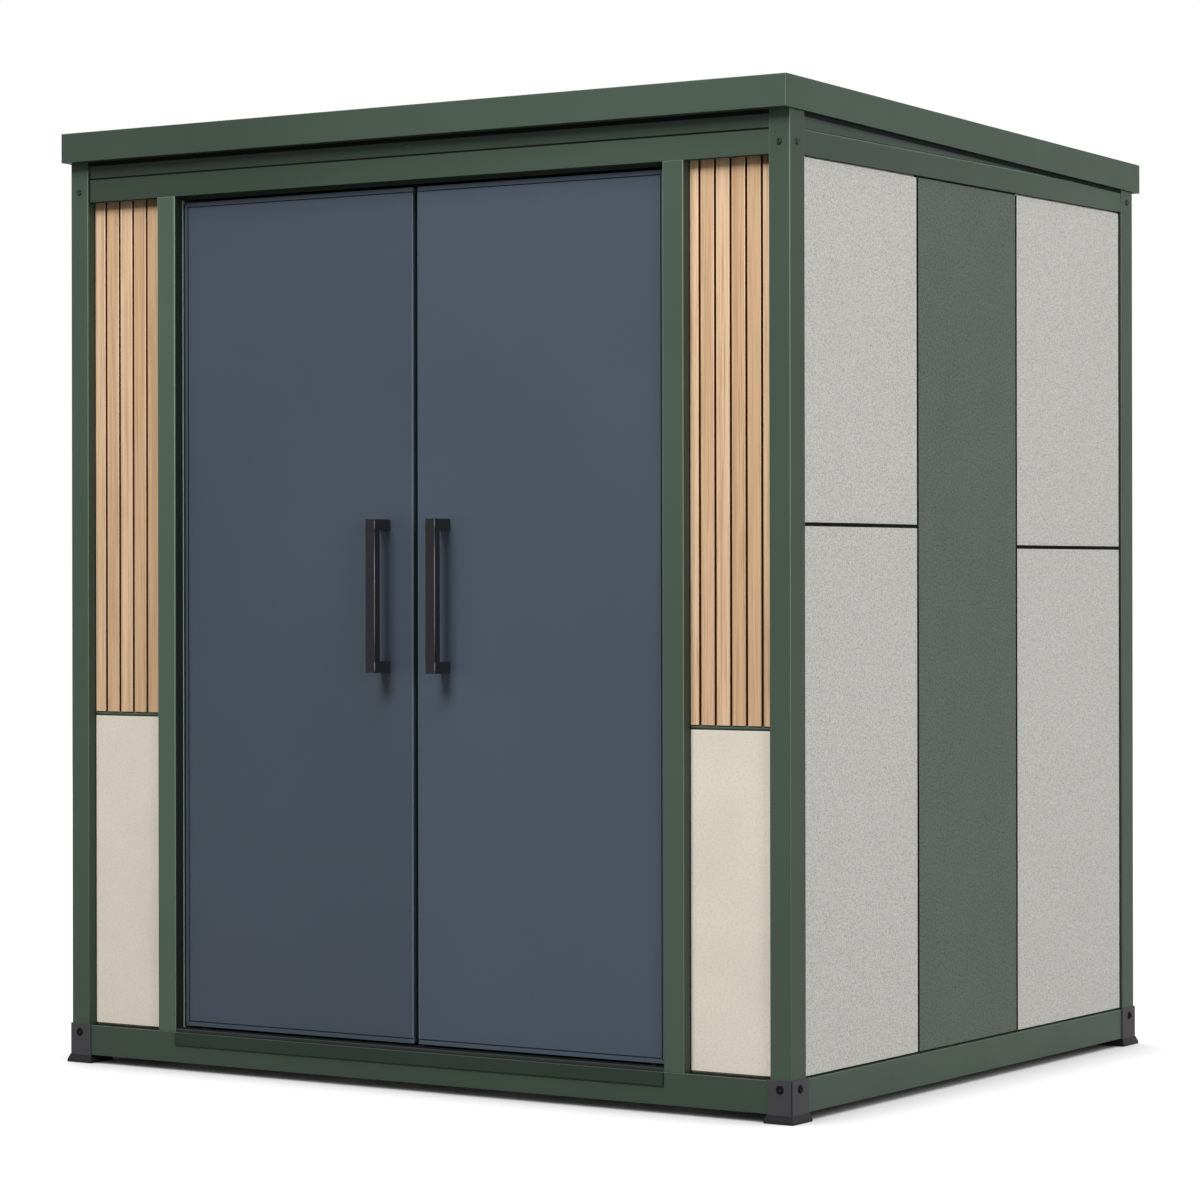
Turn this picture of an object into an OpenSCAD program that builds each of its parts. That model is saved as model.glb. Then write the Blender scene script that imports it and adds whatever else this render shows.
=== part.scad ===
// Metal storage shed with a post frame, mixed wall panels, double pivot doors and a flat roof
// with a gentle fall to the rear. Millimetres, +Z up, the front faces -Y.
// Origin: on the ground under the centre of the post frame.

/* [Overall] */
// Width over the corner posts
shed_w = 1890; // [1650:10:2300]
// Depth over the corner posts
shed_d = 1590; // [1300:10:2000]
// Height of the front roof edge above the ground
shed_h = 2104; // [1950:2:2300]

/* [Frame] */
// Post width seen from the front
post_w = 50; // [44:1:60]
// Post depth seen from the side
post_d = 60; // [54:1:70]
// Wall of the post and rail tubes
tube_wall = 3; // [2:0.5:5]
// Edge radius of the posts and jambs
edge_r = 3; // [1:0.5:5]
// Fitting gap of the roof sheet and the wall panels
seat_gap = 0.2; // [0.1:0.05:0.5]
// Height of the base rails
base_h = 68; // [56:1:90]
// Height of the lower band of the head rails
head_h = 50; // [40:1:70]
// Height of the upper band that shows under the roof edge
head_reveal = 40; // [30:1:60]
// Height of the shadow groove between the two bands
crease_h = 3; // [2:0.5:6]
// Set-back of the upper band
band_back = 3; // [1:0.5:6]
// Depth of the lower band of the head rails behind the posts
rail_back = 1.5; // [0.5:0.25:3]

/* [Feet] */
// Thickness of the foot under the posts
foot_t = 18; // [14:1:30]
// Height of the foot plate edge
foot_edge = 6; // [4:1:10]
// Height of the sleeve above the ground
sleeve_h = 88; // [60:1:120]
// Wall of the sleeve
sleeve_t = 3; // [2:0.5:6]
// Lap of the sleeve over the base rails
sleeve_lap = 6; // [2:1:12]
// Spread of the foot plate around the sleeve
foot_spread = 5; // [4:1:14]
// Slot between the two sleeve plates at the corner
foot_slot = 2; // [1:0.5:2]

/* [Front] */
// Width of a side bay between post and jamb
bay_w = 202.5; // [150:0.5:260]
// Width of a door jamb
jamb_w = 50; // [40:1:60]
// Set-back of the front infill panels
infill_back = 25; // [10:1:30]
// Thickness of the front infill panels
infill_t = 22; // [16:1:26]
// Height of the joint between slats and lower panel above the ground
joint_z = 786; // [500:2:1100]
// Height of the joint strip
joint_h = 10; // [6:1:16]
// Width of one slat with its groove in the left panel
slat_pitch_left = 39.5; // [30:0.5:50]
// Width of one slat with its groove in the right panel
slat_pitch_right = 37; // [30:0.5:50]
// Width of the groove between slats
slat_gap = 5.5; // [3:0.5:8]
// Depth of the groove between slats
slat_depth = 8; // [4:1:10]
// Rounding of the slat edges
slat_r = 2; // [1:0.25:2.5]
// First groove of the left slat panel, from the post
slat_start_left = 29.5; // [12:0.5:34]
// First groove of the right slat panel, from the jamb
slat_start_right = 21; // [12:0.5:34]

/* [Doors] */
// Thickness of a door leaf
leaf_t = 30; // [24:1:34]
// Set-back of the door faces behind the jambs
leaf_back = 25; // [15:1:28]
// Gap between leaf and jamb
side_gap = 8.5; // [8:0.5:12]
// Gap between the two leaves
meet_gap = 12; // [10:0.5:16]
// Gap under the head rail
top_gap = 14; // [8:1:20]
// Gap above the threshold
low_gap = 5.5; // [5:0.5:14]
// Width of the pressed groove around a leaf
press_w = 2.5; // [2:0.5:6]
// Depth of the pressed groove
press_depth = 3; // [2:0.5:5]
// Distance of the groove from the leaf edges
press_in = 9; // [6:1:16]
// Width of the mitre cuts at the hinge side corners of a leaf
mitre_w = 1; // [0.5:0.25:2]
// Depth of the mitre cuts
mitre_depth = 1.5; // [0.5:0.25:3]
// Rounding of the upright leaf edges
leaf_r = 3; // [1:0.5:5]
// Distance of the pivot from the hinge edge
pivot_in = 40; // [38:1:60]
// Pivot pin diameter
pin_d = 14; // [10:1:16]
// Reach of the pivot pins into the frame
pin_reach = 12; // [8:1:16]
// Radial clearance of the pivot pins
pin_clear = 0.3; // [0.2:0.05:0.5]

/* [Handles] */
// Length of a pull handle
handle_l = 329; // [250:1:400]
// Width of the handle bar
handle_w = 26; // [16:1:30]
// Depth of the handle bar
handle_bar = 20; // [12:1:22]
// Projection of the handle from the door face
handle_out = 57; // [45:1:70]
// Height of a handle foot
handle_foot = 24; // [16:1:32]
// Rounding of the handle bar edges
handle_r = 2; // [1:0.25:4]
// Height of the seam between the handle bar and its end blocks
handle_seam = 1; // [0.5:0.25:2]
// Depth of the seam
seam_depth = 0.75; // [0.5:0.25:1]
// Centre height of the handles above the ground
handle_z = 1058; // [900:2:1200]
// Handle centre from the middle of the doorway
handle_x = 79; // [60:1:110]

/* [Threshold] */
// Height of the tread bar on the base rail
sill_h = 7.5; // [5:0.5:12]
// Thickness of the lip plate in front of the base rail
lip_t = 4; // [3:0.5:6]
// Height of the lip plate
lip_h = 29; // [20:1:45]

/* [Walls] */
// Set-back of the side and rear panels
panel_back = 6; // [3:1:10]
// Thickness of the side and rear panels
panel_t = 30; // [24:1:36]
// Shadow gap between a panel face and the frame
panel_reveal = 4; // [2:0.5:8]
// Depth of the shadow gap
reveal_depth = 6; // [3:0.5:10]
// Width of the joint strips between panels
strip_w = 8; // [5:0.5:12]
// Set-back of the joint strips behind the panel faces
strip_back = 4; // [2:0.5:8]
// Width of the front bay of a side wall
bay_front = 481; // [360:1:520]
// Width of the centre bay of a side wall
bay_centre = 450; // [320:1:480]
// Joint height in the front bay
joint_front_z = 1204; // [900:1:1400]
// Joint height in the rear bay
joint_rear_z = 1163; // [900:1:1400]

/* [Floor] */
// Thickness of the floor deck
deck_t = 18; // [12:1:24]
// Width of a floor bearer
bearer_w = 45; // [35:1:60]
// Number of floor bearers
bearer_n = 4; // [2:1:6]

/* [Roof] */
// Fall of the roof from the front edge to the rear edge
roof_fall = 40; // [20:1:60]
// Height of the roof edge trim
fascia_h = 66; // [56:1:90]
// Sheet thickness of the roof edge trim
fascia_t = 3; // [2:0.5:3]
// Overhang of the roof at the front
over_front = 26; // [15:1:60]
// Overhang of the roof at the sides
over_side = 6; // [5:1:30]
// Overhang of the roof at the rear
over_rear = 28; // [15:1:60]
// Width of the top return of the trim
trim_return = 25; // [15:1:40]
// Depth of the roof sheet below the trim edge
roof_sink = 22; // [18:1:30]
// Thickness of the roof sheet
sheet_t = 6; // [4:0.5:10]
// Number of roof ribs
rib_n = 7; // [3:1:11]
// Width of a roof rib at its foot
rib_w = 36; // [24:1:50]
// Height of a roof rib
rib_h = 12; // [6:1:15]
// Width of a roof purlin
purlin_w = 40; // [30:1:60]
// Height of a roof purlin
purlin_h = 40; // [25:1:60]

/* [Hidden] */
$fn = 48;

hw = shed_w / 2;
hd = shed_d / 2;
base_z = foot_t;
base_top = base_z + base_h;
fascia_z = shed_h - fascia_h;
crease_z = fascia_z - head_reveal;
head_z = crease_z - head_h;
roof_y0 = -hd - over_front;
roof_y1 = hd + over_rear;
roof_len = roof_y1 - roof_y0;
roof_a = atan(roof_fall / roof_len);
doorway_w = shed_w - 2 * (post_w + bay_w + jamb_w);
opening = doorway_w / 2;
leaf_w = (doorway_w - 2 * side_gap - meet_gap) / 2;
leaf_z = base_top + sill_h + low_gap;
leaf_h = head_z - top_gap - leaf_z;
leaf_y = -hd + leaf_back;
pivot_x = opening - side_gap - pivot_in;
pivot_y = leaf_y + leaf_t / 2;
slat_z = joint_z + joint_h;
wall_h = head_z - base_top;
side_len = shed_d - 2 * post_d;
rear_len = shed_w - 2 * post_w;
rear_bay = (rear_len - 2 * strip_w) / 3;

green = [0.30, 0.35, 0.31];
slate = [0.28, 0.31, 0.35];
timber = [0.82, 0.68, 0.54];
cream = [0.82, 0.79, 0.73];
stone = [0.74, 0.73, 0.71];
moss = [0.36, 0.40, 0.36];
charcoal = [0.22, 0.22, 0.23];
strip_dark = [0.16, 0.19, 0.17];
zinc = [0.62, 0.64, 0.64];

// Height of a plane that follows the roof fall, given at the front roof edge
function fall_at(z, y) = z - roof_fall * (y - roof_y0) / roof_len;
function under_z(y) = fall_at(shed_h - roof_sink - sheet_t - seat_gap, y);

// Slab between two heights that follow the roof fall, from y0 to y1 and x0 to x1
module fall_slab(x0, x1, y0, y1, low, high) {
    translate([x0, 0, 0])
    rotate([90, 0, 90])
    linear_extrude(x1 - x0)
    polygon([
        [y0, fall_at(low, y0)], [y1, fall_at(low, y1)],
        [y1, fall_at(high, y1)], [y0, fall_at(high, y0)]
    ]);
}

// Everything below the roof sheet
module below_roof() {
    translate([-shed_w, 0, 0])
    rotate([90, 0, 90])
    linear_extrude(2 * shed_w)
    polygon([[-shed_d, 0], [shed_d, 0], [shed_d, under_z(shed_d)], [-shed_d, under_z(-shed_d)]]);
}

// Box from its low and high corners
module box(low, high) {
    translate(low)
    cube(high - low);
}

// Rectangle with rounded corners
module round_rect(w, d, r) {
    translate([r, 0])
    square([w - 2 * r, d]);
    translate([0, r])
    square([w, d - 2 * r]);
    for (x = [r, w - r], y = [r, d - r])
        translate([x, y])
        circle(r);
}

// Square tube section with rounded outer edges
module tube_section(w, d) {
    difference() {
        round_rect(w, d, edge_r);
        translate([tube_wall, tube_wall])
        square([w - 2 * tube_wall, d - 2 * tube_wall]);
    }
}

// Corner post for the side (sx) and the front or rear (sy)
module corner_post(sx, sy) {
    color(green)
    intersection() {
        translate([sx > 0 ? hw - post_w : -hw, sy > 0 ? hd - post_d : -hd, base_z])
        linear_extrude(shed_h)
        tube_section(post_w, post_d);
        below_roof();
    }
}

module post_front_left() corner_post(-1, -1);
module post_front_right() corner_post(1, -1);
module post_rear_left() corner_post(-1, 1);
module post_rear_right() corner_post(1, 1);

// Foot under the front right post: spread plate, cove and the two sleeve plates
module corner_foot() {
    out = sleeve_t;
    in_x = post_w + sleeve_lap;
    in_y = post_d + sleeve_lap;
    hull() {
        box([hw - in_x - foot_spread, -hd - out - foot_spread, foot_edge - 1],
            [hw + out + foot_spread, -hd + in_y + foot_spread, foot_edge]);
        box([hw - in_x, -hd - out, foot_t - 1], [hw + out, -hd + in_y, foot_t]);
    }
    box([hw - in_x - foot_spread, -hd - out - foot_spread, 0],
        [hw + out + foot_spread, -hd + in_y + foot_spread, foot_edge]);
    difference() {
        union() {
            box([hw - in_x, -hd - out, foot_t - 1], [hw + out, -hd, sleeve_h]);
            box([hw, -hd - out, foot_t - 1], [hw + out, -hd + in_y, sleeve_h]);
        }
        box([hw + out - foot_slot, -hd - out - 1, foot_t], [hw + out + 1, -hd - out + foot_slot, sleeve_h + 1]);
    }
}

module corner_feet() {
    color(charcoal)
    for (mx = [0, 1], my = [0, 1])
        mirror([mx, 0, 0])
        mirror([0, my, 0])
        corner_foot();
}

// Rail along X at the front or rear, as a tube
module base_rail_x(y0) {
    difference() {
        box([-hw + post_w, y0, base_z], [hw - post_w, y0 + post_d, base_top]);
        box([-hw, y0 + tube_wall, base_z + tube_wall], [hw, y0 + post_d - tube_wall, base_top - tube_wall]);
    }
}

module base_rail_y(x0) {
    difference() {
        box([x0, -hd + post_d, base_z], [x0 + post_w, hd - post_d, base_top]);
        box([x0 + tube_wall, -hd, base_z + tube_wall], [x0 + post_w - tube_wall, hd, base_top - tube_wall]);
    }
}

// Upright bores of the pivot pins
module pivot_bores(z0, z1) {
    for (s = [-1, 1])
        translate([s * pivot_x, pivot_y, z0])
        cylinder(d = pin_d + 2 * pin_clear, h = z1 - z0);
}

module base_rail_front() {
    color(green)
    difference() {
        base_rail_x(-hd);
        pivot_bores(base_top - 2 * tube_wall, base_top + 1);
    }
}

module base_rail_rear() color(green) base_rail_x(hd - post_d);
module base_rail_left() color(green) base_rail_y(-hw);
module base_rail_right() color(green) base_rail_y(hw - post_w);

// Head rail along X for the front: lower band, shadow groove and set-back upper band
module head_rail_x() {
    box([-hw + post_w, -hd + rail_back, head_z], [hw - post_w, -hd + post_d, crease_z]);
    box([-hw + post_w, -hd + 2 * band_back, crease_z - 1],
        [hw - post_w, -hd + post_d, crease_z + crease_h + 1]);
    intersection() {
        box([-hw + post_w, -hd + band_back, crease_z + crease_h], [hw - post_w, -hd + post_d, shed_h]);
        below_roof();
    }
}

module head_rail_y() {
    box([hw - post_w, -hd + post_d, head_z], [hw - rail_back, hd - post_d, crease_z]);
    intersection() {
        union() {
            box([hw - post_w, -hd + post_d, crease_z - 1],
                [hw - 2 * band_back, hd - post_d, crease_z + crease_h + 1]);
            box([hw - post_w, -hd + post_d, crease_z + crease_h], [hw - band_back, hd - post_d, shed_h]);
        }
        below_roof();
    }
}

module head_rail_front() {
    color(green)
    difference() {
        head_rail_x();
        pivot_bores(head_z - 1, head_z + pin_reach + 1);
    }
}

module head_rail_rear() {
    color(green)
    intersection() {
        rotate([0, 0, 180])
        union() {
            box([-hw + post_w, -hd + rail_back, head_z], [hw - post_w, -hd + post_d, crease_z]);
            box([-hw + post_w, -hd + 2 * band_back, crease_z - 1],
                [hw - post_w, -hd + post_d, crease_z + crease_h + 1]);
            box([-hw + post_w, -hd + band_back, crease_z + crease_h], [hw - post_w, -hd + post_d, shed_h]);
        }
        below_roof();
    }
}

module head_rail_right() color(green) head_rail_y();
module head_rail_left() color(green) mirror([1, 0, 0]) head_rail_y();

// Door jamb between base rail and head rail
module jamb(x0) {
    color(green)
    translate([x0, -hd, base_top])
    linear_extrude(wall_h)
    tube_section(jamb_w, post_d);
}

module jamb_left() jamb(-opening - jamb_w);
module jamb_right() jamb(opening);

// Tread bar of the doorway on the base rail
module threshold() {
    color(strip_dark)
    difference() {
        box([-opening, -hd, base_top], [opening, -hd + post_d, base_top + sill_h]);
        pivot_bores(base_top - 1, base_top + sill_h + 1);
    }
}

// Lip plate on the front of the base rail under the doorway
module threshold_lip() {
    color(green)
    box([-opening, -hd - lip_t, base_top - lip_h], [opening, -hd, base_top]);
}

// Plan section of a slat panel: backing sheet and round-edged slats
module slat_section(start, pitch) {
    back = infill_t - slat_depth;
    translate([0, slat_depth])
    square([bay_w, back]);
    n = ceil(bay_w / pitch) + 1;
    for (i = [0 : n]) {
        x0 = max(0, start + slat_gap + (i - 1) * pitch);
        x1 = min(bay_w, start + i * pitch);
        if (x1 - x0 > 2 * slat_r) {
            translate([x0, slat_r])
            square([x1 - x0, slat_depth]);
            translate([x0 + slat_r, 0])
            square([x1 - x0 - 2 * slat_r, slat_depth]);
            for (x = [x0 + slat_r, x1 - slat_r])
                translate([x, slat_r])
                circle(slat_r);
        }
    }
}

module slat_panel(x0, start, pitch) {
    color(timber)
    translate([x0, -hd + infill_back, slat_z])
    linear_extrude(head_z - slat_z)
    slat_section(start, pitch);
}

module slat_panel_left() slat_panel(-hw + post_w, slat_start_left, slat_pitch_left);
module slat_panel_right() slat_panel(opening + jamb_w, slat_start_right, slat_pitch_right);

// Plain lower panel of the front, its face clear of the base rail
module lower_panel(x0) {
    color(cream) {
        box([x0, -hd + infill_back + reveal_depth, base_top], [x0 + bay_w, -hd + infill_back + infill_t, joint_z]);
        box([x0, -hd + infill_back, base_top + panel_reveal],
            [x0 + bay_w, -hd + infill_back + reveal_depth + 1, joint_z]);
    }
}

module lower_panel_left() lower_panel(-hw + post_w);
module lower_panel_right() lower_panel(opening + jamb_w);

// Joint strip between slats and lower panel, with a raised middle
module front_joint_strip(x0) {
    third = joint_h / 3;
    translate([x0, -hd + infill_back, joint_z])
    rotate([90, 0, 90])
    linear_extrude(bay_w)
    polygon([
        [strip_back, 0], [infill_t, 0], [infill_t, joint_h], [strip_back, joint_h],
        [strip_back, 2 * third], [0, 2 * third], [0, third], [strip_back, third]
    ]);
}

module front_joint_strips() {
    color(green) {
        front_joint_strip(-hw + post_w);
        front_joint_strip(opening + jamb_w);
    }
}

// Wall panel in wall coordinates: along the wall, inward, up.
// in0, in1, low, high: shadow gaps of its face at the start, end, bottom and top.
module wall_panel(u0, u1, z0, z1, in0, in1, low, high) {
    box([u0, panel_back + reveal_depth, z0], [u1, panel_back + panel_t, z1]);
    box([u0 + in0, panel_back, z0 + low], [u1 - in1, panel_back + reveal_depth + 1, z1 - high]);
}

// Upper and lower panel of a bay with a joint between
module split_bay(u0, u1, joint, in0, in1) {
    wall_panel(u0, u1, base_top, joint - strip_w / 2, in0, in1, panel_reveal, 0);
    wall_panel(u0, u1, joint + strip_w / 2, head_z, in0, in1, 0, panel_reveal);
}

// Joint strip box in wall coordinates
module wall_strip(u0, u1, z0, z1) {
    box([u0, panel_back + strip_back, z0], [u1, panel_back + panel_t, z1]);
}

// Strips of a wall with two upright joints and two level ones
module wall_strips(a, b, len, joint_a, joint_b) {
    wall_strip(a, a + strip_w, base_top, head_z);
    wall_strip(b, b + strip_w, base_top, head_z);
    wall_strip(seat_gap, a + 1, joint_a - strip_w / 2, joint_a + strip_w / 2);
    wall_strip(b + strip_w - 1, len - seat_gap, joint_b - strip_w / 2, joint_b + strip_w / 2);
}

// Places a wall on the right side, from the front post to the rear post
module on_right() {
    translate([hw, -hd + post_d, 0])
    rotate([0, 0, 90])
    children();
}

module on_left() mirror([1, 0, 0]) on_right() children();

// Places a wall on the rear, from the right post to the left post
module on_rear() {
    translate([hw - post_w, hd, 0])
    rotate([0, 0, 180])
    children();
}

bay_b = bay_front + strip_w;
bay_c = bay_b + bay_centre;

module side_front() color(stone) split_bay(seat_gap, bay_front, joint_front_z, panel_reveal, 0);
module side_centre() color(moss) wall_panel(bay_b, bay_c, base_top, head_z, 0, 0, panel_reveal, panel_reveal);
module side_rear() color(stone) split_bay(bay_c + strip_w, side_len - seat_gap, joint_rear_z, 0, panel_reveal);
module side_strips() color(strip_dark) wall_strips(bay_front, bay_c, side_len, joint_front_z, joint_rear_z);

module right_front_panels() on_right() side_front();
module right_centre_panel() on_right() side_centre();
module right_rear_panels() on_right() side_rear();
module right_joint_strips() on_right() side_strips();

module left_front_panels() on_left() side_front();
module left_centre_panel() on_left() side_centre();
module left_rear_panels() on_left() side_rear();
module left_joint_strips() on_left() side_strips();

rear_b = rear_bay + strip_w;
rear_c = rear_b + rear_bay;

module rear_right_panels() {
    color(stone)
    on_rear()
    split_bay(seat_gap, rear_bay, joint_rear_z, panel_reveal, 0);
}

module rear_centre_panel() {
    color(moss)
    on_rear()
    wall_panel(rear_b, rear_c, base_top, head_z, 0, 0, panel_reveal, panel_reveal);
}

module rear_left_panels() {
    color(stone)
    on_rear()
    split_bay(rear_c + strip_w, rear_len - seat_gap, joint_rear_z, 0, panel_reveal);
}

module rear_joint_strips() {
    color(strip_dark)
    on_rear()
    wall_strips(rear_bay, rear_c, rear_len, joint_rear_z, joint_rear_z);
}

// Floor deck inside the base rails
module floor_deck() {
    x1 = hw - post_w;
    y1 = hd - post_d;
    color(zinc)
    box([-x1, -y1, base_top - deck_t], [x1, y1, base_top]);
}

// Bearers under the floor deck, from the front rail to the rear rail
module floor_bearers() {
    x1 = hw - post_w;
    y1 = hd - post_d;
    step = 2 * x1 / bearer_n;
    color(zinc)
    for (i = [0 : bearer_n - 1]) {
        xc = -x1 + (i + 0.5) * step;
        box([xc - bearer_w / 2, -y1, base_z], [xc + bearer_w / 2, y1, base_top - deck_t]);
    }
}

// Roof sheet with ribs that run from front to rear
module roof_sheet() {
    x1 = hw + over_side - fascia_t;
    top = shed_h - roof_sink;
    run = roof_len - 2 * (fascia_t + trim_return + rib_w);
    y1 = roof_y1 - fascia_t - trim_return - rib_w;
    step = 2 * x1 / rib_n;
    color(green) {
        fall_slab(-x1, x1, roof_y0 + fascia_t, roof_y1 - fascia_t, top - sheet_t, top);
        for (i = [0 : rib_n - 1])
            translate([-x1 + (i + 0.5) * step, y1, fall_at(top, y1)])
            rotate([90 - roof_a, 0, 0])
            linear_extrude(run / cos(roof_a))
            polygon([[-rib_w / 2, -1], [rib_w / 2, -1], [rib_w / 2, 0], [rib_w / 4, rib_h],
                [-rib_w / 4, rib_h], [-rib_w / 2, 0]]);
    }
}

// Purlins across the shed under the roof sheet
module roof_purlins() {
    top = shed_h - roof_sink - sheet_t - seat_gap;
    color(zinc)
    for (s = [-1, 1])
        fall_slab(-hw + post_w, hw - post_w, s * shed_d / 6 - purlin_w / 2, s * shed_d / 6 + purlin_w / 2,
            top - purlin_h, top);
}

// Roof edge trim along X: face, top return and bottom return to the wall
module fascia_front() {
    x1 = hw + over_side;
    xr = x1 - fascia_t;
    color(green) {
        box([-x1, roof_y0, fascia_z], [x1, roof_y0 + fascia_t, shed_h]);
        box([-xr, roof_y0, shed_h - fascia_t], [xr, roof_y0 + trim_return, shed_h]);
        box([-hw + post_w, roof_y0, fascia_z], [hw - post_w, -hd + band_back, fascia_z + fascia_t]);
        box([-xr, roof_y0, fascia_z], [xr, -hd, fascia_z + fascia_t]);
    }
}

module fascia_rear() {
    x1 = hw + over_side;
    xr = x1 - fascia_t;
    top = shed_h - roof_fall;
    low = fascia_z - roof_fall;
    color(green) {
        box([-x1, roof_y1 - fascia_t, low], [x1, roof_y1, top]);
        box([-xr, roof_y1 - trim_return, top - fascia_t], [xr, roof_y1, top]);
        box([-xr, hd, low], [xr, roof_y1, low + fascia_t]);
    }
}

// Roof edge trim of the right side between the front and rear trims
module fascia_side() {
    x1 = hw + over_side;
    y0 = roof_y0 + trim_return;
    y1 = roof_y1 - trim_return;
    fall_slab(x1 - fascia_t, x1, roof_y0 + fascia_t, roof_y1 - fascia_t, fascia_z, shed_h);
    fall_slab(x1 - trim_return, x1, y0, y1, shed_h - fascia_t, shed_h);
    fall_slab(hw, x1, -hd, hd, fascia_z, fascia_z + fascia_t);
}

module fascia_right() color(green) fascia_side();
module fascia_left() color(green) mirror([1, 0, 0]) fascia_side();

// Mitre cut from a hinge side corner of a leaf to its pressed groove; turn is 1 at the bottom, -1 at the top
module mitre_cut(x, z, turn) {
    translate([x, leaf_y, z])
    rotate([0, turn * 45, 0])
    box([-press_in * sqrt(2), -1, -mitre_w / 2], [press_in, mitre_depth, mitre_w / 2]);
}

// Right leaf: sheet leaf with a pressed groove and a pivot pin at the top and bottom
module leaf() {
    x0 = meet_gap / 2;
    x1 = x0 + leaf_w;
    z1 = leaf_z + leaf_h;
    g = press_in + press_w;
    difference() {
        translate([x0, leaf_y, leaf_z])
        linear_extrude(leaf_h)
        round_rect(leaf_w, leaf_t, leaf_r);
        box([x0 - 1, leaf_y - 1, leaf_z + press_in], [x1 - press_in, leaf_y + press_depth, leaf_z + g]);
        box([x0 - 1, leaf_y - 1, z1 - g], [x1 - press_in, leaf_y + press_depth, z1 - press_in]);
        box([x1 - g, leaf_y - 1, leaf_z + press_in], [x1 - press_in, leaf_y + press_depth, z1 - press_in]);
        mitre_cut(x1, leaf_z, 1);
        mitre_cut(x1, z1, -1);
    }
    translate([pivot_x, pivot_y, leaf_z - low_gap - sill_h - tube_wall])
    cylinder(d = pin_d, h = low_gap + sill_h + tube_wall + 1);
    translate([pivot_x, pivot_y, z1 - 1])
    cylinder(d = pin_d, h = 1 + top_gap + pin_reach);
}

module door_right() color(slate) leaf();
module door_left() color(slate) mirror([1, 0, 0]) leaf();

// Pull handle: upright bar between two end blocks with a seam at each, on two feet
module handle(x) {
    z0 = handle_z - handle_l / 2;
    x0 = x - handle_w / 2;
    y0 = leaf_y - handle_out;
    translate([x0 + seam_depth, y0 + seam_depth, z0])
    linear_extrude(handle_l)
    round_rect(handle_w - 2 * seam_depth, handle_bar - 2 * seam_depth, handle_r - seam_depth);
    for (z = [z0, z0 + handle_l - handle_foot])
        translate([x0, y0, z])
        linear_extrude(handle_foot)
        round_rect(handle_w, handle_bar, handle_r);
    translate([x0, y0, z0 + handle_foot + handle_seam])
    linear_extrude(handle_l - 2 * (handle_foot + handle_seam))
    round_rect(handle_w, handle_bar, handle_r);
    for (z = [z0, z0 + handle_l - handle_foot])
        box([x0, y0 + handle_bar / 2, z], [x0 + handle_w, leaf_y, z + handle_foot]);
}

module handle_left() color(charcoal) handle(-handle_x);
module handle_right() color(charcoal) handle(handle_x);

post_front_left();
post_front_right();
post_rear_left();
post_rear_right();
corner_feet();
base_rail_front();
base_rail_rear();
base_rail_left();
base_rail_right();
head_rail_front();
head_rail_rear();
head_rail_left();
head_rail_right();
jamb_left();
jamb_right();
threshold();
threshold_lip();
slat_panel_left();
slat_panel_right();
lower_panel_left();
lower_panel_right();
front_joint_strips();
right_front_panels();
right_centre_panel();
right_rear_panels();
right_joint_strips();
left_front_panels();
left_centre_panel();
left_rear_panels();
left_joint_strips();
rear_left_panels();
rear_centre_panel();
rear_right_panels();
rear_joint_strips();
floor_deck();
floor_bearers();
roof_sheet();
roof_purlins();
fascia_front();
fascia_rear();
fascia_left();
fascia_right();
door_left();
door_right();
handle_left();
handle_right();
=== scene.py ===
"""Looks of a metal storage shed: coats, panels, slats, small fixings, studio light and camera. Metres."""
import math
from collections import namedtuple

import bmesh
import bpy
from mathutils import Matrix, Vector


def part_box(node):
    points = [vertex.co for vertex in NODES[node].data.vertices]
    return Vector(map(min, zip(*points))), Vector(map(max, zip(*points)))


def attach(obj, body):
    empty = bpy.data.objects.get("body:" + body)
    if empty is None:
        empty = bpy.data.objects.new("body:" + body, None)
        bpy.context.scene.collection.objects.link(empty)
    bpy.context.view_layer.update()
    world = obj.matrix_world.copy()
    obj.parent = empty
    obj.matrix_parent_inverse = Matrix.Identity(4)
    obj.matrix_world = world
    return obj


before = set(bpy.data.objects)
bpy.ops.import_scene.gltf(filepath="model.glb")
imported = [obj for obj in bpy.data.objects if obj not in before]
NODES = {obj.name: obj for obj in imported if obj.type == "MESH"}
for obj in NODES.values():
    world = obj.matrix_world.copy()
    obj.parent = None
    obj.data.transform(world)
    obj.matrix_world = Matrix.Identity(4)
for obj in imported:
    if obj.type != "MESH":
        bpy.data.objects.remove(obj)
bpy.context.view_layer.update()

SIDES = ("right", "left")
WALLS = ("right", "left", "rear")

# Camera, as the photograph's edges give it
IMAGE_SIDE = 1200
FOCAL_PIXELS = 3827.2
HORIZON_OFFSET_PIXELS = -23.57
CAMERA_PLACE = Vector((4.8185, -7.4132, 1.0992))
CAMERA_YAW = math.radians(33.19)
CAMERA_ROLL = math.radians(-0.10)
SENSOR = 36.0
CLIP_END = 200.0

# Studio: white to the eye, and a soft shadow where the floor lies close under the shed
AMBIENT = 0.07
FLOOR_HALF = 60.0
FLOOR_COLOUR = (0.07, 0.07, 0.07)
SHADOW_REACH = 0.25
SHADOW_RANGE = (0.05, 1.0)
SHADOW_POWER = 0.8
SHADOW_SAMPLES = 8

# Edge softening of the sheet and tube pieces, and the greyness of the highlight painted on their edges
EDGE = 0.0015
EDGE_FINE = 0.0008
EDGE_CRISP = 0.0005
EDGE_SEGMENTS = 2
HIGHLIGHT_GREY = 0.35
EDGE_ANGLE = math.radians(35)
WELD = 0.00001

# Parts of the normal that tell rounded edges, upright edges and flanks from other faces
RIM_RANGE = (0.80, 0.98)
UPRIGHT_RANGE = (0.10, 0.30)
FLANK_RANGE = (0.90, 0.99)

# Values between which soft noise mostly lies
NOISE_RANGE = (0.3, 0.7)

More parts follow.
